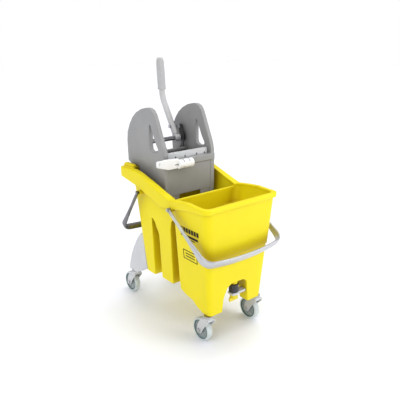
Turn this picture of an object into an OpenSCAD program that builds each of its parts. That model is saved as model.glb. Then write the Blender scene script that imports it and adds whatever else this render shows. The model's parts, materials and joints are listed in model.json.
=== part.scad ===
// Two-compartment mop bucket on castors with a lever wringer.
// Millimetres. +X right, -Y front (drain arch), +Y rear (wringer), +Z up, floor at Z = 0.
// The origin is on the floor under the middle of the object.

/* [Bucket] */
// half width of the rim
rim_half = 155; // [150:0.5:156]
// front end of the rim, as a distance ahead of the origin
rim_front = 172; // [168:0.5:176]
// rear end of the rim
rim_rear = 312; // [306:0.5:318]
// moulded wall thickness
wall = 4.5; // [3.5:0.1:5.5]
// thickness of the divider between the two compartments
divider_t = 8; // [6:0.5:10]
// underside of the front compartment's floor
front_floor = 202; // [200:1:206]

/* [Bails] */
// thickness of the bails' flattened tube
bail_t = 10; // [8:0.5:10.5]
// height of the tube's oval along the bar
bar_h = 36; // [30:0.5:37]

/* [Castors] */
// wheel diameter
wheel_d = 80; // [76:1:82]
// wheel width over the tread
wheel_w = 22; // [18:0.5:24]
// distance the wheel trails behind its swivel
trail = 27; // [22:0.5:30]

/* [Wringer] */
// half width over the ears
ear_half = 107; // [104:0.5:108]
// thickness of each ear
ear_t = 16; // [14:0.5:18]
// lever tube diameter
lever_d = 22; // [20:0.5:24]
// crank radius
crank_r = 40; // [38:0.5:41]

/* [Hidden] */
$fn = 48;
eps = 0.01;
fine = 32;

yellow = [0.97, 0.86, 0.05];
grey = [0.58, 0.58, 0.59];
light = [0.80, 0.80, 0.82];
white = [0.95, 0.95, 0.96];
steel = [0.72, 0.73, 0.75];
dark = [0.16, 0.16, 0.17];

// middle of the object's length, from the front bail to the rear tyres
middle_y = 84.18;

// castor swivel axes and the height of the pads they bolt to
swivel_x = 107;
front_swivel_y = -128;
rear_swivel_y = 303;
pad_z = 101;
wheel_r = wheel_d / 2;
wheel_gap = wheel_w / 2 + 2.5;

// bail pivots in the YZ plane, arm length, and how far below level each bail hangs
front_pivot = [1, 436];
front_reach = 233.5;
front_droop = 35.1;
rear_pivot = [180, 449];
rear_reach = 209;
rear_droop = 55;
bail_x = 162.5;
bail_corner = 34;
pin_r = 3;
front_pin_in = 140;
rear_pin_in = 134;

// wringer mechanism in the YZ plane
shaft_y = 255;
shaft_z = 598;
shaft_r = 8;
crank_a = 95;
link_len = 85;
link_z = 553;
crank_y = shaft_y - crank_r * cos(crank_a);
crank_z = shaft_z + crank_r * sin(crank_a);
link_y = crank_y - sqrt(link_len * link_len - pow(crank_z - link_z, 2));
link_pin_r = 4;
crank_pin_r = 3.5;
bush_r = 11;

// lever: plane, lean of its two straights, and lengths along them
lever_x = 61;
lean_low = 31;
lean_high = 4.5;
bend_at = 163;
grip_from = 28;
grip_to = 141;

// front rail, basket floor and latch of the wringer
rail_y = 93;
basket_z = 440;
latch_y = 77;
latch_z = 552;
ear_in = ear_half - ear_t;

drain_y = -130;
drain_z = 150;

// screws that hold the fairings from inside the rear compartment
screw_x = 94;
screw_r = 2.5;

// Moves the object's middle onto the origin.
module placed() {
  translate([0, -middle_y, 0]) children();
}

// Rounded rectangle from two opposite corners.
module rrect(a, b, r) {
  translate([a[0] + r, a[1] + r])
    offset(r = r, $fn = fine)
      square([b[0] - a[0] - 2 * r, b[1] - a[1] - 2 * r]);
}

// Block along X between two half-plane limits, from a YZ outline.
module yz(points, x0, x1) {
  translate([x0, 0, 0])
    rotate([90, 0, 90])
      linear_extrude(x1 - x0)
        polygon(points);
}

// Cylinder along X.
module xcyl(x0, x1, y, z, r) {
  translate([x0, y, z])
    rotate([0, 90, 0])
      cylinder(h = x1 - x0, r = r);
}

// Draws its children on both sides of the plane X = 0.
module both() {
  children();
  mirror([1, 0, 0]) children();
}

// Straight-sided tapering block between two rounded rectangles.
module taper(z0, a0, b0, r0, z1, a1, b1, r1) {
  hull() {
    translate([0, 0, z0]) linear_extrude(eps) rrect(a0, b0, r0);
    translate([0, 0, z1 - eps]) linear_extrude(eps) rrect(a1, b1, r1);
  }
}

// ---- bucket ---------------------------------------------------------------

// Side view of the rim's upper edge, from front to rear.
rim_top = [[-180, 474], [-130, 476], [-80, 477], [-30, 472], [12, 466], [20, 467],
           [60, 479], [120, 497], [180, 514], [215, 519], [320, 514]];
// Side view of the rim's lower edge, from rear to front.
rim_low = [[320, 486], [200, 467], [98, 440], [60, 428], [30, 431], [-7, 438],
           [-88, 452], [-180, 460]];

module rim_slice(inset_top, inset_low) {
  top = [for (p = rim_top) [p[0], p[1] - inset_top]];
  low = [for (p = rim_low) [p[0], p[1] + inset_low]];
  yz(concat(top, low), -200, 200);
}

module below_rim(drop) {
  yz(concat([for (p = rim_top) [p[0], p[1] - drop]], [[320, 0], [-180, 0]]), -200, 200);
}

module rim_plan(t) {
  rrect([-rim_half + t, -rim_front + t], [rim_half - t, rim_rear - t], 24 - t);
}

// Outside of the front compartment, less t all round.
module front_block(t, z0, y_back) {
  taper(z0, [-114 + t, -143 + t], [114 - t, y_back], 14 - t,
        500, [-149 + t, -164 + t], [149 - t, y_back], 24 - t);
}

module rear_block(t, z0) {
  taper(z0, [-121 + t, -8], [121 - t, 214 - t], 26 - t,
        540, [-140 + t, -8], [140 - t, 268 - t], 34 - t);
}

// Upright channels moulded into each side, grown by t for the inner wall.
module channels(t) {
  yz([[4 - t, 90], [42 + t, 90], [38 + t, 352 + t], [30 + t, 382 + t], [4 - t, 398 + t]], 92 - t, 200);
  yz([[103 - t, 90], [150 + t, 90], [146 + t, 366 + t], [127 - t, 350 + t], [107 - t, 310]], 92 - t, 200);
}

// Outline of the body's lower edge in side view.
module skirt_cut() {
  yz([[-200, 60], [-200, 101], [-112, 101], [-84, 112], [-60, 128], [-30, 134], [2, 146],
      [6, 148], [145, 148], [146, 141], [230, 141], [230, 60]], -200, 200);
}

module arch() {
  translate([0, -90, 0])
    rotate([90, 0, 0])
      linear_extrude(100)
        polygon([[-60, 90], [-57, 146], [-43, 184], [-26, 194], [26, 194], [41, 184],
                 [46, 150], [56, 90]]);
}

module divider() {
  difference() {
    intersection() {
      translate([-150, 16, 150]) cube([300, divider_t, 306]);
      rear_block(1, 141);
    }
    both() channels(0);
  }
}

module bucket_shell() {
  difference() {
    union() {
      front_block(0, 95, 16);
      rear_block(0, 135);
    }
    // front compartment
    difference() {
      front_block(wall, front_floor + 5, 16);
      translate([-200, -200, 0]) cube([400, 400, front_floor + 5]);
      both() channels(wall);
    }
    // space under the front compartment, between the legs
    difference() {
      front_block(wall, 90, 2);
      translate([-200, -200, front_floor]) cube([400, 400, 400]);
    }
    // rear compartment
    difference() {
      translate([0, 0, 6]) rear_block(wall, 141);
      translate([-200, -200, 0]) cube([400, 216, 600]);
      // the floor is higher over the raised part of the lower edge
      translate([-200, 0, 100]) cube([400, 148.5, 54]);
      both() channels(wall);
    }
    both() channels(0);
    arch();
    skirt_cut();
  }
}

// Lining of the front arch, and the pads its castors bolt up into.
module arch_tunnel() {
  intersection() {
    difference() {
      translate([0, -104, 0])
        rotate([90, 0, 0])
          linear_extrude(44)
            polygon([[-64, 101], [-61, 148], [-46, 188], [-28, 204], [28, 204], [46, 188],
                     [50, 152], [60, 101]]);
      arch();
    }
    front_block(1, 95, 16);
  }
  both()
    intersection() {
      translate([59.5, -150, pad_z]) cube([60.5, 46, 9]);
      front_block(1, 95, 16);
    }
}

// Bulkhead behind the arch, with its own lower opening.
module bulkhead() {
  intersection() {
    translate([0, -92, 0])
      rotate([90, 0, 0])
        linear_extrude(5)
          polygon([[-110, 206], [-110, 128], [-64, 128], [-48, 148], [-24, 158], [24, 158],
                   [48, 148], [64, 128], [110, 128], [110, 206]]);
    front_block(1, 95, 16);
  }
}

// Blocks inside the rear compartment that the wringer's feet stand on.
module foot_rests() {
  both()
    difference() {
      yz([[96, 388], [114, 398], [114, 411.5], [96, 411.5]], 90, 137);
      difference() {
        translate([-200, 0, 300]) cube([400, 200, 200]);
        rear_block(1, 135);
      }
    }
}

// Raised corner stops on the rear deck that keep the wringer from sliding.
module deck_stops() {
  both()
    yz([[242, 512], [242, 524], [246, 529], [296, 529], [303, 522], [303, 508]], 122, 138);
}

// Proud panel above the front bail, wrapping onto both sides.
module bulge() {
  difference() {
    intersection() {
      difference() {
        taper(95, [-118, -147], [118, 10], 18, 500, [-152.5, -168], [152.5, 10], 28);
        front_block(1, 90, 16);
      }
      below_rim(4);
    }
    yz([[-200, 300], [-118, 300], [-18, 384], [6, 428], [20, 428], [20, 60], [-200, 60]],
       -200, 200);
    yz([[-10, 60], [-10, 600], [20, 600], [20, 60]], -200, 200);
  }
}

// Spout that carries the drain.
module spout() {
  difference() {
    union() {
      translate([0, drain_y, 182]) cylinder(h = front_floor + 2 - 182, r = 13);
      translate([0, drain_y, front_floor - 6]) cylinder(h = 8, r = 19);
    }
    translate([0, drain_y, drain_z - 5]) cylinder(h = 80, r = 9);
  }
}

// Bosses on both side walls that carry a bail's pins.
module bail_bosses(p, x_in) {
  both() xcyl(x_in - 2, 156.8, p[0], p[1], 8);
}

module bucket() {
  color(yellow) {
    difference() {
      union() {
        intersection() {
          bucket_shell();
          below_rim(3);
        }
        // rim skirt
        difference() {
          intersection() {
            rim_slice(0, 0);
            linear_extrude(700) rim_plan(0);
          }
          linear_extrude(700) rim_plan(4);
        }
        // rim top
        difference() {
          intersection() {
            difference() {
              below_rim(0);
              below_rim(5);
            }
            linear_extrude(700) rim_plan(0);
          }
          front_block(wall, 300, 16);
          difference() {
            rear_block(wall, 300);
            translate([-200, -200, 0]) cube([400, 216, 600]);
          }
        }
        divider();
        bail_bosses(front_pivot, front_pin_in);
        bail_bosses(rear_pivot, rear_pin_in);
        arch_tunnel();
        bulkhead();
        foot_rests();
        deck_stops();
        bulge();
        spout();
      }
      both() {
        xcyl(front_pin_in, 170, front_pivot[0], front_pivot[1], pin_r);
        xcyl(rear_pin_in, 170, rear_pivot[0], rear_pivot[1], pin_r);
        translate([swivel_x, front_swivel_y, 90]) cylinder(h = 30, r = 6);
        screw_bores();
      }
      translate([0, drain_y, drain_z - 5]) cylinder(h = 80, r = 9);
      translate([0, drain_y, front_floor + 0.8]) cylinder(h = 12, r = 15.2);
    }
  }
}

// ---- fairings -------------------------------------------------------------

// Light housing over each rear castor, hung on the rear wall.
module fairing() {
  outer = [[234, 276], [244, 268], [258, 252], [272, 232], [290, 203], [306, 172],
           [318, 140], [326, 115], [329, pad_z], [274, pad_z], [215.5, 139],
           [190, 142], [205, 274]];
  inner = [[190, 262], [232, 262], [245, 252], [256, 237], [268, 217], [284, 191],
           [298, 163], [310, 134], [317, pad_z + 9], [279, pad_z + 9], [274, 90],
           [205, 130]];
  color(light)
    difference() {
      yz(outer, 64, 120);
      yz(inner, 68, 89);
      yz(inner, 99, 116);
      screw_bores();
      translate([swivel_x, rear_swivel_y, 90]) cylinder(h = 30, r = 6);
      rear_block(-0.3, 135);
    }
}

// Places its children on the two screw lines of the right fairing, at the wall's inner face.
module at_screws() {
  for (z = [170, 255])
    translate([screw_x, 209.5 + 0.1353 * (z - 147), z])
      rotate([-90, 0, 0])
        children();
}

module screw_bores() {
  at_screws() translate([0, 0, -2]) cylinder(h = 22, r = screw_r);
}

module fairing_screws() {
  color(steel)
    both()
      at_screws() {
        translate([0, 0, -3.2]) cylinder(h = 2.5, r = 4.5);
        translate([0, 0, -1]) cylinder(h = 20, r = screw_r);
      }
}

// ---- castors --------------------------------------------------------------

// Swivel stem with its flange and the rivet head that holds the fork on.
module castor_stem() {
  cylinder(h = 4, r = 15);
  translate([0, 0, -14]) cylinder(h = 27, r = 6);
  translate([0, 0, -17]) cylinder(h = 3.4, r = 9);
}

module castor_stems() {
  color(steel)
    both() {
      translate([swivel_x, front_swivel_y, pad_z - 4]) castor_stem();
      translate([swivel_x, rear_swivel_y, pad_z - 4]) castor_stem();
    }
}

// Fork with its swivel axis at the origin and the wheel trailing along +Y.
module fork() {
  leg = [[-17, 89], [17, 89], [34, 62], [trail + 11, wheel_r + 4], [trail + 9, wheel_r - 7],
         [trail, wheel_r - 11], [trail - 9, wheel_r - 7], [2, 60], [-17, 80]];
  color(light)
    difference() {
      union() {
        yz(leg, wheel_gap, wheel_gap + 3);
        yz(leg, -wheel_gap - 3, -wheel_gap);
        translate([0, 0, 84]) cylinder(h = 12, r = 16);
        translate([-wheel_gap - 3, -15, 84]) cube([2 * wheel_gap + 6, 32, 6]);
      }
      translate([0, 0, 80]) cylinder(h = 20, r = 6.05);
      xcyl(-30, 30, trail, wheel_r, 4);
    }
}

module hub() {
  color([0.62, 0.68, 0.68])
    difference() {
      union() {
        xcyl(-wheel_w / 2 + 3, wheel_w / 2 - 3, trail, wheel_r, 30);
        xcyl(-wheel_w / 2 - 2, wheel_w / 2 + 2, trail, wheel_r, 9);
      }
      xcyl(-30, 30, trail, wheel_r, 4.05);
      xcyl(wheel_w / 2 - 5, 30, trail, wheel_r, 26);
      xcyl(-30, -wheel_w / 2 + 5, trail, wheel_r, 26);
    }
}

module band() {
  color([0.13, 0.30, 0.30])
    difference() {
      xcyl(-wheel_w / 2 + 1, wheel_w / 2 - 1, trail, wheel_r, 33);
      xcyl(-30, 30, trail, wheel_r, 30);
    }
}

module tyre() {
  h = wheel_w / 2;
  color([0.82, 0.85, 0.84])
    translate([0, trail, wheel_r])
      rotate([90, 0, 90])
        rotate_extrude()
          polygon([[33, -h + 1], [36, -h], [38.5, -h + 2], [wheel_r, -h + 6],
                   [wheel_r, h - 6], [38.5, h - 2], [36, h], [33, h - 1]]);
}

module axle() {
  color(steel) {
    xcyl(-wheel_gap - 6.5, wheel_gap + 8, trail, wheel_r, 4);
    xcyl(-wheel_gap - 7, -wheel_gap - 3, trail, wheel_r, 7);
  }
}

module nut() {
  color(steel)
    difference() {
      translate([wheel_gap + 3, trail, wheel_r])
        rotate([0, 90, 0])
          cylinder(h = 5, r = 7.5, $fn = 6);
      xcyl(0, 40, trail, wheel_r, 4);
    }
}

// Puts a part of a castor at one of the four corners.
module at_corner(right, rear) {
  translate([right ? swivel_x : -swivel_x, rear ? rear_swivel_y : front_swivel_y, 0]) children();
}

// ---- bails ----------------------------------------------------------------

// Oval outline of a bail's flattened tube.
module bar_section(w, h) {
  polygon([for (a = [0:18:342]) [w / 2 * cos(a), h / 2 * sin(a)]]);
}

// Bail hinged at the origin, with its arms widening along -Y to a gently bowed bar.
module bail(reach, h) {
  tilt = 8;
  x_c = bail_x - bail_corner;
  y_c = -(reach - bail_corner - 8);
  big = (x_c + bail_corner * sin(tilt)) / sin(tilt);
  y_b = y_c - bail_corner * cos(tilt) + big * cos(tilt);
  difference() {
    union() {
      both() {
        xcyl(bail_x - bail_t / 2, bail_x + bail_t / 2, 0, 0, 6.5);
        yz([[0, 6], [0, -6], [0.55 * y_c, -6.6], [y_c - 1, -h / 2], [y_c - 1, h / 2],
            [0.55 * y_c, 6.6]],
           bail_x - bail_t / 2, bail_x + bail_t / 2);
        translate([x_c, y_c, 0])
          rotate([0, 0, tilt - 90])
            rotate_extrude(angle = 96 - tilt)
              translate([bail_corner, 0])
                bar_section(bail_t - 0.6, h - 0.4);
      }
      translate([0, y_b, 0])
        rotate([0, 0, -90 - tilt - 0.12])
          rotate_extrude(angle = 2 * tilt + 0.24)
            translate([big, 0])
              bar_section(bail_t - 0.8, h - 0.8);
    }
    both() xcyl(bail_x - 10, bail_x + 10, 0, 0, pin_r + 0.07);
  }
}

module bail_front() {
  color(steel)
    translate([0, front_pivot[0], front_pivot[1]])
      rotate([front_droop, 0, 0])
        bail(front_reach, bar_h);
}

module bail_rear() {
  color(steel)
    translate([0, rear_pivot[0], rear_pivot[1]])
      rotate([-rear_droop, 0, 0])
        mirror([0, 1, 0])
          bail(rear_reach, bar_h - 9);
}

module bail_pins() {
  color(steel)
    both() {
      xcyl(front_pin_in, bail_x + 6, front_pivot[0], front_pivot[1], pin_r);
      xcyl(rear_pin_in, bail_x + 6, rear_pivot[0], rear_pivot[1], pin_r);
      for (p = [front_pivot, rear_pivot])
        xcyl(bail_x + 5.7, bail_x + 7.2, p[0], p[1], 4.5);
    }
}

// ---- drain ----------------------------------------------------------------

module drain_body() {
  color(dark)
    difference() {
      union() {
        translate([0, drain_y, drain_z - 8]) cylinder(h = front_floor + 11.5 - drain_z, r = 9);
        translate([0, drain_y, drain_z + 2]) cylinder(h = 29, r = 16);
        translate([0, drain_y, front_floor + 1.8]) cylinder(h = 3, r = 15);
      }
      translate([0, drain_y, drain_z - 10]) cylinder(h = 80, r = 6);
    }
}

module drain_seal() {
  color(dark)
    translate([0, drain_y, front_floor + 0.8])
      difference() {
        cylinder(h = 1, r = 15);
        translate([0, 0, -1]) cylinder(h = 3, r = 9);
      }
}

module drain_knob() {
  color(yellow) {
    translate([0, drain_y, drain_z - 19]) cylinder(h = 10.5, r = 12);
    translate([0, drain_y, drain_z - 10]) cylinder(h = 14, r = 5.95);
    translate([-18, drain_y - 3, drain_z - 31]) cube([36, 6, 13]);
  }
}

// Collar on the knob with the handle that turns it, running on the outside of the pipe.
module drain_lever() {
  color(light)
    difference() {
      union() {
        translate([0, drain_y, drain_z - 8.5]) cylinder(h = 9.5, r = 13);
        translate([-14, drain_y - 12, drain_z - 6.5]) cube([57, 24, 7.5]);
      }
      translate([0, drain_y, drain_z - 12]) cylinder(h = 30, r = 9.06);
    }
}

// ---- wringer --------------------------------------------------------------

ear_side = [[322, 527], [323.5, 600], [319, 632], [303, 662], [283, 687], [258, 706],
            [228, 720], [200, 726.5], [180, 727], [164, 722], [152, 710], [143, 693],
            [126, 655], [112, 625], [101, 600], [96, 580], [95, 560], [95, basket_z],
            [248, basket_z], [248, 500], [256, 518.2], [300, 519]];
ear_hole = [[178, 674], [174, 672], [146, 616], [133, 598], [132, 592], [138, 587],
            [150, 583], [166, 584], [178, 590], [180.5, 600], [180.5, 668]];

module wringer_side() {
  difference() {
    yz(ear_side, ear_in, ear_half);
    yz(ear_hole, ear_in - 1, ear_half + 1);
    // thin the wall beside the basket
    translate([ear_in - 1, 103, basket_z - 1]) cube([ear_t - 5, 140, 91]);
    xcyl(ear_in - 1, ear_half - 4, shaft_y, shaft_z, bush_r);
  }
  // guide rail for the press jaw
  translate([ear_half - 10, 124, 500]) cube([5, 119, 5]);
  // corner post and foot
  translate([ear_in, 94.3, 412]) cube([ear_t - 1, 11, 60]);
  translate([46, 98, 424]) cube([46, 5, 17]);
}

module wringer_body() {
  color(grey)
    difference() {
      union() {
        both() wringer_side();
        // front wall and its top rail
        translate([-ear_half + 1, 97, basket_z]) cube([2 * ear_half - 2, 6, 110]);
        translate([-ear_half, rail_y, 541]) cube([2 * ear_half, 19, 22]);
        // rear wall and the deck it rests on
        translate([-ear_half + 1, 243, basket_z]) cube([2 * ear_half - 2, 5, 90]);
        translate([-ear_in, 243, 520]) cube([2 * ear_in, 57, 5]);
        // basket floor
        translate([-ear_half + 1, 97, basket_z]) cube([2 * ear_half - 2, 151, 5]);
        // latch lugs
        for (x = [-49.5, -27.5]) {
          translate([x, latch_y, latch_z - 7]) cube([5, rail_y - latch_y + 1, 14]);
          xcyl(x, x + 5, latch_y, latch_z, 7);
        }
      }
      for (x = [-84:12:84], y = [118:44:220])
        translate([x - 3, y, basket_z - 1]) cube([6, 32, 8]);
      xcyl(-60, -20, latch_y, latch_z, 3);
    }
}

module jaw_insert() {
  color(white) {
    translate([-88, 112, 448]) cube([176, 6, 134]);
    translate([-88, 112, 563.5]) cube([176, 11, 5]);
    translate([-88, 112, 578]) cube([176, 10, 5]);
    for (x = [-82:12:82])
      translate([x - 1.5, 118, 450]) cube([3, 5, 116]);
    for (x = [-84, -44, -4, 36, 80])
      translate([x - 2, 112, 566]) cube([4, 10, 14]);
  }
}

module shaft_bushes() {
  color(dark)
    both()
      difference() {
        union() {
          xcyl(ear_in, ear_half - 4, shaft_y, shaft_z, bush_r);
          xcyl(ear_in - 2.5, ear_in, shaft_y, shaft_z, 15);
        }
        xcyl(ear_in - 5, ear_half + 2, shaft_y, shaft_z, shaft_r + 0.06);
      }
}

module latch_pin() {
  color(steel) xcyl(-66, -8, latch_y, latch_z, 3);
}

module latch_lever() {
  color(white)
    difference() {
      union() {
        xcyl(-66, -50, latch_y, latch_z, 15);
        xcyl(-44, -28, latch_y, latch_z, 15);
        xcyl(-22, -8, latch_y, latch_z, 15);
        translate([-60, latch_y - 14.5, latch_z - 7]) cube([46, 5, 14]);
        translate([0, 80, 0])
          rotate([90, 0, 0])
            linear_extrude(6)
              polygon([[-151, 571], [-148, 573.5], [-128, 573.5], [-116, 575], [-66, 572],
                       [-58, 560], [-58, 542], [-66, 540], [-105, 539.5], [-148, 553],
                       [-151, 556]]);
      }
      xcyl(-80, 0, latch_y, latch_z, 3.06);
      translate([-142, 70, 557]) cube([3, 14, 11]);
    }
}

// ---- press mechanism ------------------------------------------------------

module press_jaw() {
  color(grey)
    difference() {
      union() {
        translate([-99.5, 232, 449]) cube([199, 6, 115]);
        translate([-90, 226.5, 558]) cube([180, 11, 8]);
        for (x = [-84:14:84])
          translate([x - 2, 226.5, 450]) cube([4, 6, 110]);
      }
      both() translate([96, 220, 499.3]) cube([10, 30, 6.4]);
      // ends relieved where the ears thicken
      both() translate([ear_in - 0.8, 220, 529.4]) cube([20, 30, 60]);
      both()
        for (z = [547, 559])
          translate([78, 230, z]) rotate([-90, 0, 0]) cylinder(h = 12, r = 2);
    }
}

module jaw_brackets() {
  color(dark)
    both()
      difference() {
        union() {
          translate([68, 238, 540]) cube([20, 3, 18]);
          for (x = [71.5, 81.5])
            yz([[240, 541], [262, 545], [262, 561], [240, 562]], x, x + 3);
        }
        xcyl(60, 95, link_y, link_z, link_pin_r);
      }
}

module bracket_pins() {
  color(steel)
    both() {
      xcyl(71, 85.5, link_y, link_z, link_pin_r);
      xcyl(69.3, 71.3, link_y, link_z, 6);
    }
}

// Bent link that passes in front of the shaft.
module links() {
  color(dark)
    both()
      difference() {
        union() {
          yz([[link_y - 8, 552], [236, 570], [231, 598], [237, 622], [crank_y - 7, 642],
              [crank_y + 3, 646], [crank_y + 8, 636], [crank_y + 2, 629], [248, 613],
              [244.5, 598], [247, 578], [link_y + 8, 555]], 76, 80);
          xcyl(76, 80, link_y, link_z, 8);
          xcyl(76, 80, crank_y, crank_z, 9);
        }
        xcyl(70, 90, link_y, link_z, link_pin_r + 0.06);
        xcyl(70, 90, crank_y, crank_z, crank_pin_r + 1.7);
      }
}

module cross_shaft() {
  color(steel) xcyl(-ear_half + 4.5, ear_half - 4.5, shaft_y, shaft_z, shaft_r);
}

module crank_arms() {
  color(dark)
    both()
      difference() {
        union() {
          xcyl(82, 86, shaft_y, shaft_z, 14);
          xcyl(82, 86, crank_y, crank_z, 9);
          yz([[shaft_y - 11, shaft_z], [crank_y - 8, crank_z], [crank_y + 8, crank_z],
              [shaft_y + 12, shaft_z]], 82, 86);
        }
        xcyl(80, 90, shaft_y, shaft_z, shaft_r);
        xcyl(80, 90, crank_y, crank_z, crank_pin_r);
      }
}

module crank_pins() {
  color(steel)
    both() {
      xcyl(75, 86.5, crank_y, crank_z, crank_pin_r);
      xcyl(73, 75.3, crank_y, crank_z, 7);
    }
}

// Moves from the shaft's axis to the lever's own axis, leaning back.
module on_lever() {
  translate([lever_x, shaft_y, shaft_z]) rotate([-lean_low, 0, 0]) children();
}

module above_bend() {
  translate([lever_x, shaft_y + bend_at * sin(lean_low), shaft_z + bend_at * cos(lean_low)])
    rotate([-lean_high, 0, 0])
      children();
}

module lever_hub() {
  color(light)
    difference() {
      union() {
        xcyl(lever_x - 11, lever_x + 11, shaft_y, shaft_z, 13);
        on_lever() translate([0, 0, 5]) cylinder(h = 57, r = lever_d / 2 - 2);
      }
      xcyl(30, 90, shaft_y, shaft_z, shaft_r);
      on_lever() translate([-30, 0, 46]) rotate([0, 90, 0]) cylinder(h = 60, r = 4);
    }
}

module lever_tube() {
  color(light) {
    difference() {
      on_lever() translate([0, 0, 14]) cylinder(h = bend_at - 22, r = lever_d / 2);
      on_lever() translate([0, 0, 10]) cylinder(h = 60, r = lever_d / 2 - 2);
      on_lever() translate([-30, 0, 46]) rotate([0, 90, 0]) cylinder(h = 60, r = 4);
    }
    hull() {
      on_lever() translate([0, 0, bend_at - 9]) cylinder(h = 1, r = lever_d / 2, $fn = fine);
      above_bend() translate([0, 0, 8]) cylinder(h = 1, r = lever_d / 2, $fn = fine);
    }
    above_bend() translate([0, 0, 8]) cylinder(h = grip_to - 20, r = lever_d / 2);
  }
}

module lever_grip() {
  color([0.72, 0.72, 0.73])
    above_bend()
      difference() {
        rotate_extrude()
          polygon([[0, grip_from], [15.5, grip_from], [16, grip_from + 3],
                   [15, grip_from + 6], [14.2, grip_from + 14], [14.8, grip_from + 45],
                   [14.2, grip_to - 22], [12.6, grip_to - 8], [9.5, grip_to - 1.5],
                   [6, grip_to], [0, grip_to]]);
        translate([0, 0, grip_from - 1]) cylinder(h = grip_to - 11 - grip_from, r = lever_d / 2);
      }
}

module lever_bolt() {
  color(steel)
    on_lever() {
      translate([-15, 0, 46]) rotate([0, 90, 0]) cylinder(h = 32, r = 4);
      translate([-16, 0, 46]) rotate([0, 90, 0]) cylinder(h = 5, r = 6.5, $fn = 6);
    }
}

module lever_nut() {
  color(steel)
    on_lever()
      difference() {
        translate([11, 0, 46]) rotate([0, 90, 0]) cylinder(h = 5, r = 6.5, $fn = 6);
        translate([5, 0, 46]) rotate([0, 90, 0]) cylinder(h = 20, r = 4);
      }
}

// ---- nodes ----------------------------------------------------------------

placed() bucket();
placed() mirror([1, 0, 0]) fairing();  // fairing_left
placed() fairing();  // fairing_right
placed() fairing_screws();
placed() castor_stems();
placed() bail_front();
placed() bail_rear();
placed() bail_pins();
placed() drain_body();
placed() drain_seal();
placed() drain_knob();
placed() drain_lever();
placed() at_corner(false, false) fork();  // fork_fl
placed() at_corner(false, false) hub();  // hub_fl
placed() at_corner(false, false) band();  // band_fl
placed() at_corner(false, false) tyre();  // tyre_fl
placed() at_corner(false, false) axle();  // axle_fl
placed() at_corner(false, false) nut();  // nut_fl
placed() at_corner(true, false) fork();  // fork_fr
placed() at_corner(true, false) hub();  // hub_fr
placed() at_corner(true, false) band();  // band_fr
placed() at_corner(true, false) tyre();  // tyre_fr
placed() at_corner(true, false) axle();  // axle_fr
placed() at_corner(true, false) nut();  // nut_fr
placed() at_corner(false, true) fork();  // fork_rl
placed() at_corner(false, true) hub();  // hub_rl
placed() at_corner(false, true) band();  // band_rl
placed() at_corner(false, true) tyre();  // tyre_rl
placed() at_corner(false, true) axle();  // axle_rl
placed() at_corner(false, true) nut();  // nut_rl
placed() at_corner(true, true) fork();  // fork_rr
placed() at_corner(true, true) hub();  // hub_rr
placed() at_corner(true, true) band();  // band_rr
placed() at_corner(true, true) tyre();  // tyre_rr
placed() at_corner(true, true) axle();  // axle_rr
placed() at_corner(true, true) nut();  // nut_rr
placed() wringer_body();
placed() jaw_insert();
placed() shaft_bushes();
placed() latch_pin();
placed() latch_lever();
placed() press_jaw();
placed() jaw_brackets();
placed() bracket_pins();
placed() links();
placed() cross_shaft();
placed() crank_arms();
placed() crank_pins();
placed() lever_hub();
placed() lever_tube();
placed() lever_grip();
placed() lever_bolt();
placed() lever_nut();
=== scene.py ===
"""Looks for a two-compartment mop bucket with a lever wringer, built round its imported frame.

Metres throughout. +X is the bucket's right, -Y its front end, +Z up, and the floor is Z = 0.
"""

import json
import logging
import math
from dataclasses import dataclass, field
from enum import Enum
from typing import Callable, Iterable, Sequence

import bmesh
import bpy
from mathutils import Matrix, Vector


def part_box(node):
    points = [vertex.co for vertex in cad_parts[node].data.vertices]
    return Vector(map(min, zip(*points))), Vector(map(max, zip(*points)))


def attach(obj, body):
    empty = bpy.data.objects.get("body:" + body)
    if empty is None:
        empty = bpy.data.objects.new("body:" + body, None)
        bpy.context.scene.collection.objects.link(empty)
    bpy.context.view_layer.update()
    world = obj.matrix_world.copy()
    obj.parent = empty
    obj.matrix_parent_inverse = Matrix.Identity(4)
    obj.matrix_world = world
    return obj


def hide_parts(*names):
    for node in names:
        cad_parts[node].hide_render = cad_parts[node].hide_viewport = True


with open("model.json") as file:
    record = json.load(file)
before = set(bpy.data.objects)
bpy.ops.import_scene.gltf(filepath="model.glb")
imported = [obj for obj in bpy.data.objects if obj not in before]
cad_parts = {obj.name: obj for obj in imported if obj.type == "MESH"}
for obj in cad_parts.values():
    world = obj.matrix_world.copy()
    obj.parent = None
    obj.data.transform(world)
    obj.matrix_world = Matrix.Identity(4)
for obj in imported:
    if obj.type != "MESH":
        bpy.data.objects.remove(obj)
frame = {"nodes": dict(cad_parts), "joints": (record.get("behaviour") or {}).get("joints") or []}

LOG = logging.getLogger("mop_bucket")
SHARP_DEG = 40.0  # edges sharper than this stay sharp
SHAFT_FROM_DATUM = 0.255  # the lever's shaft behind the bucket's own datum, in metres
# Dark colour of the painted reflection lines along the bails' edges.
REFLECTION_LINE_COLOUR = (0.045, 0.045, 0.048)
Colour = tuple[float, float, float]
Ring = list[Vector]


class Corner(Enum):
    """The four castors, by end and side."""

    FRONT_LEFT = "fl"
    FRONT_RIGHT = "fr"
    REAR_LEFT = "rl"
    REAR_RIGHT = "rr"


class Texture(Enum):
    """How a finish's fine relief runs over the surface."""

    GRAIN = "grain"
    BRUSHED_X = "brushed_x"
    BRUSHED_Z = "brushed_z"
    ORANGE_PEEL = "orange_peel"


# ---- node graphs -----------------------------------------------------------


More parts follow.
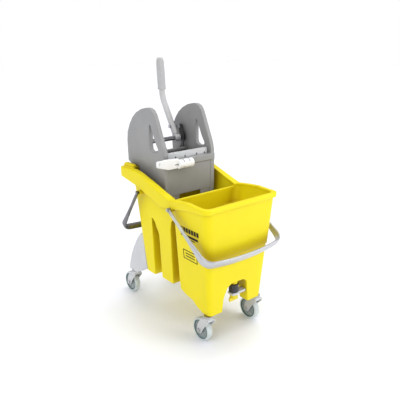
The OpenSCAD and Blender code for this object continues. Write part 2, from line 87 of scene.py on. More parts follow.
class Graph:
    """A small helper that builds one material's node graph."""

    def __init__(self, name: str) -> None:
        """Starts an empty graph with its output.

        Args:
            name: the material's name.
        """
        self.material = bpy.data.materials.new(name)
        self.material.use_nodes = True
        self.tree = self.material.node_tree
        self.tree.nodes.clear()
        self.output = self.tree.nodes.new("ShaderNodeOutputMaterial")

    def add(self, kind: str, **settings: object) -> bpy.types.Node:
        """Adds a node and sets its attributes.

        Args:
            kind: the node's type, without the ShaderNode prefix.
            settings: attribute values.

        Returns:
            The new node.
        """
        node = self.tree.nodes.new("ShaderNode" + kind)
        for key, value in settings.items():
            setattr(node, key, value)
        return node

    def feed(self, source: object, node: bpy.types.Node, socket: str | int) -> None:
        """Links an output into a socket, or sets the socket's value.

        Args:
            source: an output socket, or a plain value.
            node: the node that takes it.
            socket: the input's name or number.
        """
        if isinstance(source, bpy.types.NodeSocket):
            self.tree.links.new(source, node.inputs[socket])
        else:
            node.inputs[socket].default_value = source

    def noise(self, vector: object, scale: float, detail: float = 2.0,
              rough: float = 0.5) -> bpy.types.NodeSocket:
        """Noise over the object's own coordinates.

        Args:
            vector: the coordinate output.
            scale: waves per metre.
            detail: octaves.
            rough: share of the fine octaves.

        Returns:
            The noise's factor output.
        """
        node = self.add("TexNoise")
        self.feed(vector, node, "Vector")
        self.feed(scale, node, "Scale")
        self.feed(detail, node, "Detail")
        self.feed(rough, node, "Roughness")
        return node.outputs["Fac"]

    def span(self, value: object, low: float, high: float, to_low: float,
             to_high: float) -> bpy.types.NodeSocket:
        """Maps one range of a value onto another, held at both ends.

        Args:
            value: the input socket.
            low: start of the input range.
            high: end of the input range.
            to_low: result at the start.
            to_high: result at the end.

        Returns:
            The mapped output.
        """
        node = self.add("MapRange", clamp=True)
        self.feed(value, node, "Value")
        for name, number in (("From Min", low), ("From Max", high),
                             ("To Min", to_low), ("To Max", to_high)):
            self.feed(number, node, name)
        return node.outputs["Result"]

    def mix(self, factor: object, a: object, b: object) -> bpy.types.NodeSocket:
        """Mixes two colours.

        Args:
            factor: share of b.
            a: the first colour or socket.
            b: the second colour or socket.

        Returns:
            The mixed colour.
        """
        node = self.add("Mix", data_type="RGBA")
        self.feed(factor, node, 0)
        for source, slot in ((a, 6), (b, 7)):
            whole = (*source, 1.0) if isinstance(source, tuple) else source
            self.feed(whole, node, slot)
        return node.outputs[2]

    def stretched(self, vector: object, scale: Colour) -> bpy.types.NodeSocket:
        """Coordinates stretched along the axes.

        Args:
            vector: the coordinate output.
            scale: the three factors.

        Returns:
            The stretched coordinates.
        """
        node = self.add("Mapping")
        self.feed(vector, node, "Vector")
        self.feed(scale, node, "Scale")
        return node.outputs["Vector"]


@dataclass(frozen=True)
class Finish:
    """One surface finish, as a procedural material."""

    name: str
    colour: Colour
    second: Colour
    roughness: float = 0.4
    metallic: float = 0.0
    specular: float = 0.5
    texture: Texture = Texture.GRAIN
    grain: float = 900.0
    relief: float = 0.00012
    strength: float = 0.35
    edge: float = 0.0012
    wear: float = 0.1
    wear_colour: Colour = (1.0, 1.0, 1.0)
    mottle: float = 14.0
    coat: float = 0.0
    # Strength of the painted reflection lines along sharply curved edges.
    reflection_lines: float = 0.0
    # shade and shade_colour: how strongly, and towards which colour, painted shade darkens
    # creases
    shade: float = 0.0
    shade_colour: Colour = (0.0, 0.0, 0.0)

    def material(self) -> bpy.types.Material:
        """The finish's material, made once.

        Returns:
            The Blender material.
        """
        return bpy.data.materials.get(self.name) or self._build()

    def _build(self) -> bpy.types.Material:
        """Builds the graph: mottled colour, rubbed edges, painted shade in creases, painted
        reflection lines along edges, uneven gloss and fine relief.

        Returns:
            The new material.
        """
        g = Graph(self.name)
        shader = g.add("BsdfPrincipled")
        where = g.add("TexCoord").outputs["Object"]
        cloud = g.noise(where, self.mottle, 4.0, 0.55)
        colour = g.mix(g.span(cloud, 0.35, 0.7, 0.0, 1.0), self.colour, self.second)
        rounded = g.add("Bevel", samples=4)
        g.feed(self.edge, rounded, "Radius")
        colour = self._rubbed(g, colour, rounded.outputs["Normal"], where)
        # Painted shade: creases and inner corners darken by ambient occlusion.
        if self.shade > 0.0:
            colour = self._painted_crease_shade(g, colour)
        # Painted reflection: dark lines where the surface curves sharply, as along a flat tube's
        # rims.
        if self.reflection_lines > 0.0:
            sharp = g.add("NewGeometry").outputs["Pointiness"]
            colour = g.mix(g.span(sharp, 0.515, 0.60, 0.0, self.reflection_lines), colour, REFLECTION_LINE_COLOUR)
        g.feed(colour, shader, "Base Color")
        smear = g.noise(where, 42.0, 3.0, 0.6)
        g.feed(g.span(smear, 0.3, 0.75, self.roughness - 0.06, self.roughness + 0.08),
               shader, "Roughness")
        g.feed(self.metallic, shader, "Metallic")
        g.feed(self.specular, shader, "Specular IOR Level")
        g.feed(self.coat, shader, "Coat Weight")
        g.feed(0.25, shader, "Coat Roughness")
        bump = g.add("Bump")
        g.feed(self.strength, bump, "Strength")
        g.feed(self.relief, bump, "Distance")
        g.feed(self._relief(g, where), bump, "Height")
        g.feed(rounded.outputs["Normal"], bump, "Normal")
        g.feed(bump.outputs["Normal"], shader, "Normal")
        g.feed(shader.outputs["BSDF"], g.output, "Surface")
        return g.material

    def _rubbed(self, g: Graph, colour: object, normal: object,
                where: object) -> bpy.types.NodeSocket:
        """Lightens the edges where hands and mops rub them.

        Args:
            g: the graph.
            colour: the colour so far.
            normal: the rounded normal.
            where: the coordinates.

        Returns:
            The colour with its rubbed edges.
        """
        dot = g.add("VectorMath", operation="DOT_PRODUCT")
        g.feed(normal, dot, 0)
        g.feed(g.add("NewGeometry").outputs["Normal"], dot, 1)
        edge = g.span(dot.outputs["Value"], 0.985, 0.9, 0.0, 1.0)
        patch = g.span(g.noise(where, 60.0, 3.0, 0.6), 0.4, 0.62, 0.15, 1.0)
        both = g.add("Math", operation="MULTIPLY")
        g.feed(edge, both, 0)
        g.feed(patch, both, 1)
        amount = g.add("Math", operation="MULTIPLY")
        g.feed(both.outputs[0], amount, 0)
        g.feed(self.wear, amount, 1)
        return g.mix(amount.outputs[0], colour, self.wear_colour)

    def _painted_crease_shade(self, g: Graph, colour: object) -> bpy.types.NodeSocket:
        """Paints shade into grooves and inner corners, darkening the colour towards the shade
        colour where ambient occlusion is high.

        Args:
            g: the graph.
            colour: the colour so far.

        Returns:
            The colour with its painted crease shade.
        """
        cover = g.add("AmbientOcclusion", samples=6)
        g.feed(0.045, cover, "Distance")
        return g.mix(g.span(cover.outputs["AO"], 0.35, 0.95, self.shade, 0.0), colour,
                     self.shade_colour)

    def _relief(self, g: Graph, where: object) -> bpy.types.NodeSocket:
        """The height field of the finish's fine relief.

        Args:
            g: the graph.
            where: the coordinates.

        Returns:
            The height output.
        """
        if self.texture is Texture.BRUSHED_X:
            return g.noise(g.stretched(where, (0.03, 1.0, 1.0)), self.grain, 3.0, 0.6)
        if self.texture is Texture.BRUSHED_Z:
            return g.noise(g.stretched(where, (1.0, 1.0, 0.03)), self.grain, 3.0, 0.6)
        if self.texture is Texture.ORANGE_PEEL:
            cells = g.add("TexVoronoi", feature="SMOOTH_F1")
            g.feed(where, cells, "Vector")
            g.feed(self.grain, cells, "Scale")
            return cells.outputs["Distance"]
        return g.noise(where, self.grain, 3.0, 0.65)


# YELLOW and GREY paint shade into their creases through shade and shade_colour.
YELLOW = Finish("yellow_moulding", (0.83, 0.700, 0.006), (0.79, 0.655, 0.005), 0.40,
                specular=0.22, shade=0.75, shade_colour=(0.40, 0.23, 0.004), grain=520.0,
                relief=0.00010, edge=0.0016, wear=0.14, wear_colour=(0.98, 0.90, 0.30),
                mottle=7.0)
YELLOW_KNOB = Finish("yellow_knob", (0.80, 0.66, 0.008), (0.72, 0.60, 0.006), 0.36, edge=0.0009)
GREY = Finish("grey_moulding", (0.315, 0.315, 0.315), (0.285, 0.285, 0.285), 0.44,
              specular=0.4, shade=0.45, shade_colour=(0.06, 0.06, 0.06),
              grain=1100.0, relief=0.00010, edge=0.0014, wear=0.30,
              wear_colour=(0.60, 0.60, 0.61), mottle=11.0)
LIGHT = Finish("light_moulding", (0.57, 0.58, 0.60), (0.53, 0.54, 0.56), 0.38, edge=0.0015)
# The insert is white plastic; this darker grey copy of the white paints in the shade it sits in.
INSERT_SHADED_WHITE = Finish("insert_shaded_white", (0.60, 0.61, 0.62), (0.56, 0.57, 0.58), 0.35, edge=0.0009,
                mottle=22.0)
WHITE = Finish("white_moulding", (0.88, 0.885, 0.895), (0.84, 0.845, 0.86), 0.33, edge=0.0009,
               mottle=22.0)
WHEEL = Finish("wheel_moulding", (0.31, 0.35, 0.355), (0.26, 0.295, 0.30), 0.42, edge=0.0010,
               wear=0.25, wear_colour=(0.66, 0.70, 0.70), mottle=40.0)
BAND = Finish("teal_band", (0.015, 0.105, 0.095), (0.012, 0.080, 0.074), 0.45, wear=0.0)
TREAD = Finish("pale_tread", (0.60, 0.65, 0.64), (0.50, 0.54, 0.53), 0.55, specular=0.4,
               grain=700.0, relief=0.0002, edge=0.0012, wear=0.0, mottle=55.0)
GRIP = Finish("grip_moulding", (0.51, 0.51, 0.515), (0.44, 0.44, 0.445), 0.46, grain=1300.0,
              relief=0.00015, edge=0.0010, mottle=30.0)
DARK = Finish("dark_moulding", (0.035, 0.035, 0.038), (0.025, 0.025, 0.028), 0.45)
SEAL = Finish("black_seal", (0.02, 0.02, 0.02), (0.03, 0.03, 0.03), 0.7, specular=0.3)
LEVER = Finish("lever_coating", (0.60, 0.60, 0.605), (0.55, 0.55, 0.555), 0.32,
               texture=Texture.ORANGE_PEEL, grain=650.0, relief=0.00008, coat=0.2,
               wear=0.25, wear_colour=(0.75, 0.75, 0.76), mottle=18.0)
# Both bail finishes paint dark reflection lines along the tube's rims.
BAIL_STEEL = Finish("satin_bail_steel", (0.56, 0.565, 0.585), (0.49, 0.495, 0.51), 0.33,
                    metallic=0.70, reflection_lines=0.85, texture=Texture.BRUSHED_X, grain=2200.0,
                    relief=0.00006, edge=0.0006, wear=0.0, mottle=16.0)
REAR_STEEL = Finish("dark_bail_steel", (0.22, 0.22, 0.225), (0.14, 0.14, 0.145), 0.24,
                    metallic=0.9, reflection_lines=0.6, texture=Texture.BRUSHED_X, grain=2200.0,
                    relief=0.00006, edge=0.0006, wear=0.0, mottle=16.0)
FORK = Finish("fork_coating", (0.60, 0.61, 0.62), (0.53, 0.54, 0.55), 0.36, metallic=0.25,
              texture=Texture.ORANGE_PEEL, grain=800.0, relief=0.00006, edge=0.0009,
              wear=0.2, wear_colour=(0.72, 0.73, 0.74), mottle=30.0)
FIXING = Finish("bright_fixing", (0.55, 0.56, 0.58), (0.46, 0.47, 0.49), 0.30, metallic=1.0,
                texture=Texture.BRUSHED_Z, grain=2400.0, relief=0.00005, edge=0.0006,
                wear=0.0, mottle=60.0)
SHAFT = Finish("dull_shaft", (0.22, 0.22, 0.23), (0.15, 0.15, 0.16), 0.33, metallic=0.8,
               texture=Texture.BRUSHED_X, grain=1800.0, relief=0.00006, edge=0.0006,
               wear=0.0, mottle=40.0)
LINKAGE = Finish("black_linkage", (0.030, 0.030, 0.033), (0.045, 0.045, 0.048), 0.38,
                 texture=Texture.ORANGE_PEEL, grain=700.0, relief=0.00007, edge=0.0008,
                 wear=0.35, wear_colour=(0.30, 0.30, 0.31), mottle=35.0)
PRINT = Finish("printed_bars", (0.014, 0.012, 0.008), (0.022, 0.018, 0.010), 0.6, specular=0.15,
               wear=0.0)
FLOOR = Finish("pale_floor", (0.890, 0.903, 0.950), (0.885, 0.898, 0.945), 0.9, specular=0.1,
               grain=40.0, relief=0.0001, strength=0.05, edge=0.0001, wear=0.0, mottle=0.6)


# ---- mesh helpers ----------------------------------------------------------


def joint_place(name: str) -> Vector:
    """Where a joint's axis passes.

    Args:
        name: the joint's name.

    Returns:
        Its point in the frame, in metres.
    """
    found = next(j for j in frame["joints"] if j["name"] == name)
    return Vector(found["pos_m"])


def offset_y() -> float:
    """How far the frame lies from the bucket's own datum along Y, in metres."""
    return joint_place("lever_swing").y - SHAFT_FROM_DATUM


def paint(obj: bpy.types.Object, finish: Finish) -> None:
    """Gives an object one finish on every face."""
    obj.data.materials.clear()
    obj.data.materials.append(finish.material())


def piece(name: str, mesh: bpy.types.Mesh, body: str, finish: Finish, slot: str,
          stands_for: Sequence[str] = ()) -> bpy.types.Object:
    """Adds a finished piece to the scene on its body.

    Args:
        name: the piece's name.
        mesh: its mesh, in the row frame.
        body: the CAD body it rides on.
        finish: its finish.
        slot: the record's material slot; not used.
        stands_for: the CAD nodes it stands for.

    Returns:
        The new object.
    """
    obj = bpy.data.objects.new(name, mesh)
    bpy.context.scene.collection.objects.link(obj)
    paint(obj, finish)
    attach(obj, body)
    if stands_for:
        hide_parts(*stands_for)
    LOG.info("%s: %d faces on %s", name, len(mesh.polygons), body)
    return obj


def skin(rings: Sequence[Ring], into: bmesh.types.BMesh | None = None) -> bmesh.types.BMesh:
    """Joins rings of points into a tube that is capped at both ends.

    Args:
        rings: rings of equal length, in order along the tube.
        into: a mesh to add to.

    Returns:
        The mesh.
    """
    bm = into or bmesh.new()
    rows = [[bm.verts.new(p) for p in ring] for ring in rings]
    n = len(rows[0])
    for a, b in zip(rows, rows[1:]):
        for k in range(n):
            bm.faces.new((a[k], a[(k + 1) % n], b[(k + 1) % n], b[k]))
    bm.faces.new(list(reversed(rows[0])))
    bm.faces.new(rows[-1])
    return bm


def finish_mesh(bm: bmesh.types.BMesh, name: str) -> bpy.types.Mesh:
    """Turns a bmesh into a smooth-shaded mesh that keeps its sharp edges.

    Args:
        bm: the source, which is freed.
        name: the mesh's name.

    Returns:
        The mesh.
    """
    bmesh.ops.recalc_face_normals(bm, faces=bm.faces)
    for f in bm.faces:
        f.smooth = True
    for e in bm.edges:
        if len(e.link_faces) == 2 and e.calc_face_angle() > math.radians(SHARP_DEG):
            e.smooth = False
    mesh = bpy.data.meshes.new(name)
    bm.to_mesh(mesh)
    bm.free()
    return mesh


def applied(obj: bpy.types.Object, name: str) -> bpy.types.Mesh:
    """The object's mesh with its modifiers applied, and the object removed.

    Args:
        obj: a working object.
        name: the new mesh's name.

    Returns:
        The evaluated mesh.
    """
    graph = bpy.context.evaluated_depsgraph_get()
    mesh = bpy.data.meshes.new_from_object(obj.evaluated_get(graph))
    mesh.name = name
    bpy.data.objects.remove(obj)
    return mesh


def softened(node: str, voxel: float, passes: int, keep: float) -> bpy.types.Mesh:
    """A moulded version of a CAD node, with its edges and inner corners rounded.

    Args:
        node: the CAD node.
        voxel: remeshing size, in metres.
        passes: smoothing passes.
        keep: share of the faces kept afterwards.

    Returns:
        The new mesh, in the row frame.
    """
    work = bpy.data.objects.new(node + "_work", frame["nodes"][node].data.copy())
    bpy.context.scene.collection.objects.link(work)
    remesh = work.modifiers.new("remesh", "REMESH")
    remesh.mode = "VOXEL"
    remesh.voxel_size = voxel
    remesh.use_smooth_shade = True
    ease = work.modifiers.new("ease", "SMOOTH")
    ease.factor = 0.5
    ease.iterations = passes
    thin = work.modifiers.new("thin", "DECIMATE")
    thin.ratio = keep
    mesh = applied(work, node + "_moulded")
    mesh.materials.clear()
    for f in mesh.polygons:
        f.use_smooth = True
    return mesh


def add_bar(into: bmesh.types.BMesh, size: Sequence[float], round_by: float, segments: int,
            place: Matrix) -> None:
    """Adds a block with rounded edges.

    Args:
        into: the mesh to add to.
        size: its three dimensions.
        round_by: edge radius.
        segments: steps round each edge.
        place: where the block's middle goes, and how it is turned.
    """
    bm = bmesh.new()
    bmesh.ops.create_cube(bm, size=1.0, matrix=Matrix.Diagonal((*size, 1.0)))
    bmesh.ops.bevel(bm, geom=list(bm.edges), offset=round_by, segments=segments,
                    affect="EDGES", profile=0.5)
    bm.transform(place)
    scratch = bpy.data.meshes.new("block")
    bm.to_mesh(scratch)
    bm.free()
    into.from_mesh(scratch)
    bpy.data.meshes.remove(scratch)


# ---- the bucket ------------------------------------------------------------


@dataclass
class Bucket:
    """The two-compartment tub and what is fixed to it."""

    voxel: float = 0.0021
    passes: int = 4
    keep: float = 0.30
    side_foot: tuple[float, float] = (0.114, 0.095)
    side_head: tuple[float, float] = (0.149, 0.500)
    bulge_out: float = 0.0040
    bulge_lost: float = 0.0005
    mark_thick: float = 0.0012
    block_share: float = 0.76
    row: tuple[float, float, float, float, int] = (-0.1225, -0.0350, 0.3830, 0.0155, 7)
    marks: list[tuple[float, float, float, float, bool]] = field(default_factory=lambda: [
        (-0.0760, 0.3635, 0.084, 0.0075, True),
        (-0.0785, 0.3545, 0.049, 0.0030, True),
        (-0.0675, 0.3080, 0.070, 0.0028, False),
        (-0.0675, 0.2780, 0.070, 0.0028, False),
        (-0.0340, 0.2930, 0.0030, 0.0300, False),
        (-0.1010, 0.2930, 0.0030, 0.0300, False),
        (-0.0675, 0.2980, 0.046, 0.0034, False),
        (-0.0675, 0.2885, 0.046, 0.0034, False),
    ])

    def build(self) -> None:
        """Makes the tub, its fairings and the printed marks."""
        voxel = self.voxel * 1.0
        piece("tub", softened("bucket", voxel, self.passes, self.keep), "base", YELLOW,
              "yellow_plastic", ["bucket"])
        for side in ("left", "right"):
            node = f"fairing_{side}"
            piece(f"{node}_shell", softened(node, 0.0016, 4, 0.35), "base", LIGHT,
                  "light_plastic", [node])
        self._print_marks()

    def _side_x(self, z: float, proud: bool) -> float:
        """Half width of the tub's side at a height.

        Args:
            z: height above the floor.
            proud: whether the point is on the raised upper panel.

        Returns:
            The half width, in metres.
        """
        (x0, z0), (x1, z1) = self.side_foot, self.side_head
        x = x0 + (x1 - x0) * (z - z0) / (z1 - z0)
        bulge = self.bulge_out - self.bulge_lost * (z - z0) / (z1 - z0)
        return x + (bulge if proud else 0.0)

    def _print_marks(self) -> None:
        """Prints plain blocks, lines and an outlined box on the left side, as one piece."""
        bm = bmesh.new()
        y0, y1, z_row, tall_row, count = self.row
        step = (y1 - y0) / (count - 1 + self.block_share)
        blocks = [(y0 + step * (k + self.block_share / 2), z_row, step * self.block_share,
                   tall_row, True) for k in range(count)]
        shift = offset_y()
        lean = math.atan2(self.side_head[0] - self.side_foot[0],
                          self.side_head[1] - self.side_foot[1])
        for y, z, long, tall, proud in blocks + self.marks:
            x = -self._side_x(z, proud)
            place = Matrix.Translation((x, y + shift, z)) @ Matrix.Rotation(-lean, 4, "Y")
            add_bar(bm, (self.mark_thick, long, tall), 0.0002, 1, place)
        piece("side_print", finish_mesh(bm, "side_print"), "base", PRINT, "dark_plastic")

    def dress(self) -> None:
        """Finishes the CAD nodes that show as they are."""
        # The drain body is painted near-black, partly its own dark housing and partly painted
        # shade for the shadowed arch round it.
        for node, finish in (("drain_body", DARK), ("drain_seal", SEAL), ("drain_lever", LIGHT),
                             ("drain_knob", YELLOW_KNOB), ("castor_stems", FIXING),
                             ("bail_pins", FIXING), ("fairing_screws", FIXING)):
            paint(frame["nodes"][node], finish)


# ---- bails -----------------------------------------------------------------


@dataclass
class Bail:
    """A flattened-tube bail whose arms widen to a gently bowed bar."""

    node: str
    hinge: str
    finish: Finish
    slot: str
    reach: float
    droop_deg: float
    rearward: bool
    bar_tall: float
    bar_deep: float = 0.0092
    eye_tall: float = 0.0114
    half_width: float = 0.1625
    corner: float = 0.034
    bow_deg: float = 8.0
    eye: float = 0.0064
    eye_half: float = 0.0049
    eye_hole: float = 0.0031
    eye_steps: int = 32

    def _path(self) -> list[tuple[float, float, float, float]]:
        """Half of the bail's line, from eye to middle.

        Returns:
            Points as (x, y, heading in degrees, width from 0 to 1), hinged at the origin.
        """
        bow = math.radians(self.bow_deg)
        x_c = self.half_width - self.corner
        y_c = -(self.reach - self.corner - 0.008)
        big = (x_c + self.corner * math.sin(bow)) / math.sin(bow)
        y_b = y_c - self.corner * math.cos(bow) + big * math.cos(bow)
        out = []
        for i in range(15):
            wide = 0.72 * max((i / 14 - 0.45) / 0.55, 0.0) ** 1.3
            out.append((self.half_width, -0.0035 + (y_c + 0.0035) * i / 14, 0.0, wide))
        turn = 90.0 - self.bow_deg
        for i in range(1, 13):
            a = math.radians(turn * i / 12)
            out.append((x_c + self.corner * math.cos(a), y_c - self.corner * math.sin(a),
                        turn * i / 12, 0.72 + 0.28 * i / 12))
        for i in range(1, 11):
            t = bow * (1 - i / 10)
            out.append((big * math.sin(t), y_b - big * math.cos(t), 90.0 - math.degrees(t), 1.0))
        return out

    def _ring(self, x: float, y: float, heading: float, wide: float, sides: int = 36) -> Ring:
        """The section at one place on the line.

        Args:
            x: place across.
            y: place along.
            heading: direction of the line, in degrees.
            wide: 0 at the eye and 1 from the corner on.
            sides: points round it.

        Returns:
            The ring's points.
        """
        deep = self.bar_deep / 2
        tall = (self.eye_tall * (1 - wide) + self.bar_tall * wide) / 2
        h = math.radians(heading)
        ring = []
        for k in range(sides):
            a = 2 * math.pi * k / sides
            c, d = math.cos(a), math.sin(a)
            u = deep * math.copysign(abs(c) ** 0.8, c)
            v = tall * math.copysign(abs(d) ** 0.8, d)
            ring.append(Vector((x + u * math.cos(h), y - u * math.sin(h), v)))
        return ring

    def build(self) -> None:
        """Makes the bail and hangs it on its hinge."""
        half = self._path()
        line = half + [(-x, y, 180.0 - h, f) for x, y, h, f in reversed(half[:-1])]
        bm = skin([self._ring(*p) for p in line])
        for side in (-1, 1):
            self._add_eye(bm, side * self.half_width)
        if self.rearward:
            bmesh.ops.scale(bm, vec=(1, -1, 1), verts=bm.verts)
            bmesh.ops.reverse_faces(bm, faces=bm.faces)
        tilt = math.radians(-self.droop_deg if self.rearward else self.droop_deg)
        place = joint_place(self.hinge)
        bm.transform(Matrix.Translation((0, place.y, place.z)) @ Matrix.Rotation(tilt, 4, "X"))
        piece(self.node + "_tube", finish_mesh(bm, self.node), self.node, self.finish,
              self.slot, [self.node])

    def _add_eye(self, bm: bmesh.types.BMesh, x: float) -> None:
        """Adds the forged eye at one end, bored for its pin.

        Args:
            bm: the mesh to add to.
            x: the eye's middle.
        """
        w, r, hole, steps = self.eye_half, self.eye, self.eye_hole, self.eye_steps
        profile = [(-w, hole), (-w, r - 0.001), (-w + 0.001, r), (w - 0.001, r),
                   (w, r - 0.001), (w, hole)]
        rows = []
        for px, pr in profile:
            rows.append([bm.verts.new((x + px, pr * math.cos(a), pr * math.sin(a)))
                         for a in (2 * math.pi * k / steps for k in range(steps))])
        for a, b in zip(rows, rows[1:] + rows[:1]):
            for k in range(steps):
                bm.faces.new((a[k], a[(k + 1) % steps], b[(k + 1) % steps], b[k]))


# ---- castors ---------------------------------------------------------------


@dataclass
class Castor:
    """One swivel castor: pressed fork, disc wheel, pale tread."""

    corner: Corner
    rib: tuple[float, float, float] = (0.0022, 0.0020, 0.0165)
    rib_out: float = 0.0065
    rib_middle: float = 0.0172
    nodes: dict[str, Finish] = field(default_factory=lambda: {
        "axle": FIXING, "nut": FIXING, "hub": WHEEL, "band": BAND, "tyre": TREAD})

    def build(self) -> None:
        """Rounds the fork's pressed edges and adds the wheel's ribs."""
        tag = self.corner.value
        source = "fork_" + Corner.FRONT_LEFT.value
        mesh = bpy.data.meshes.get("fork_pressing")
        if mesh is None:
            mesh = softened(source, 0.0008, 3, 0.35)
            mesh.name = "fork_pressing"
        here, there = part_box("fork_" + tag)[0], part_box(source)[0]
        copy = mesh.copy()
        copy.transform(Matrix.Translation(here - there))
        piece(f"fork_{tag}_pressing", copy, "castor_" + tag, FORK, "fork_steel", ["fork_" + tag])
        self._ribs(tag)

    def _ribs(self, tag: str) -> None:
        """Adds the short radial ribs moulded in both faces of the wheel's disc.

        Args:
            tag: the castor's corner.
        """
        low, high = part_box("hub_" + tag)
        middle = (low + high) / 2
        bm = bmesh.new()
        for side in (-1, 1):
            for k in range(8):
                turn = Matrix.Rotation(math.pi / 4 * k, 4, "X")
                shift = Matrix.Translation((side * self.rib_out, 0.0, self.rib_middle))
                add_bar(bm, self.rib, 0.0006, 2, Matrix.Translation(middle) @ turn @ shift)
        piece(f"wheel_ribs_{tag}", finish_mesh(bm, "ribs_" + tag), "wheel_" + tag, WHEEL,
              "wheel_plastic")

    def dress(self) -> None:
        """Finishes the castor's CAD nodes."""
        for part, finish in self.nodes.items():
            paint(frame["nodes"][f"{part}_{self.corner.value}"], finish)


# ---- the wringer -----------------------------------------------------------


@dataclass
class Wringer:
    """The grey press frame with its white insert and latch."""

    lobes: tuple[tuple[float, float], ...] = ((-0.066, -0.050), (-0.044, -0.028),
                                              (-0.022, -0.008))
    lobe_radius: float = 0.0143
    ribs_round: int = 13
    # Places and sizes of the dark triangles of painted notch shadow on the insert.
    notch_shadow_x: tuple[float, ...] = (-0.050, -0.010, 0.040, 0.075)
    notch_shadow_half: float = 0.0042
    notch_shadow_foot: float = 0.5640
    notch_shadow_tip: float = 0.5715

    def build(self) -> None:
        """Makes the frame, the insert, the jaw and the latch."""
        quick = 1.0
        piece("press_frame", softened("wringer_body", 0.0016 * quick, 3, 0.30), "wringer",
              GREY, "grey_plastic", ["wringer_body"])
        # The insert takes the grey, painted-shade copy of the white.
        piece("fixed_jaw_face", softened("jaw_insert", 0.0010 * quick, 2, 0.25), "wringer",
              INSERT_SHADED_WHITE, "white_plastic", ["jaw_insert"])
        piece("moving_jaw", softened("press_jaw", 0.0012 * quick, 2, 0.25), "jaw", GREY,
              "grey_plastic", ["press_jaw"])
        piece("latch_moulding", softened("latch_lever", 0.0008 * quick, 3, 0.3), "latch",
              WHITE, "white_plastic", ["latch_lever"])
        self._latch_ribs()
        self._painted_notch_shadows()

    def _painted_notch_shadows(self) -> None:
        """Paints the shadows of the snap-fit notches along the insert's lower lip as thin dark
        triangles.
        """
        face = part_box("jaw_insert")[0].y
        bm = bmesh.new()
        for x in self.notch_shadow_x:
            outline = [(-self.notch_shadow_half, self.notch_shadow_foot), (self.notch_shadow_half, self.notch_shadow_foot),
                       (0.0, self.notch_shadow_tip)]
            skin([[Vector((x + u, face + v, z)) for u, z in outline]
                  for v in (-0.0003, 0.0006)], into=bm)
        # Painted shadow: dark sheets where the notches fall in shade.
        piece("insert_notch_shadows", finish_mesh(bm, "insert_notch_shadows"), "wringer", LINKAGE,
              "dark_plastic")

    def _latch_ribs(self) -> None:
        """Adds the finger ribs round the latch's barrel."""
        hinge = joint_place("latch_turn")
        bm = bmesh.new()
        for x0, x1 in self.lobes:
            for k in range(self.ribs_round):
                a = 2 * math.pi * k / self.ribs_round
                turn = Matrix.Rotation(a, 4, "X")
                out = Matrix.Translation((0, 0, self.lobe_radius - 0.0002))
                move = Matrix.Translation(((x0 + x1) / 2, hinge.y, hinge.z))
                add_bar(bm, (x1 - x0 - 0.003, 0.0026, 0.0016), 0.0006, 2, move @ turn @ out)
        piece("latch_ribs", finish_mesh(bm, "latch_ribs"), "latch", WHITE, "white_plastic")

    def dress(self) -> None:
        """Finishes the linkage and the small parts."""
        for node, finish in (("shaft_bushes", DARK), ("latch_pin", FIXING),
                             ("jaw_brackets", LINKAGE), ("bracket_pins", FIXING),
                             ("links", LINKAGE), ("cross_shaft", SHAFT),
                             ("crank_arms", LINKAGE), ("crank_pins", FIXING)):
            paint(frame["nodes"][node], finish)


# ---- the lever -------------------------------------------------------------


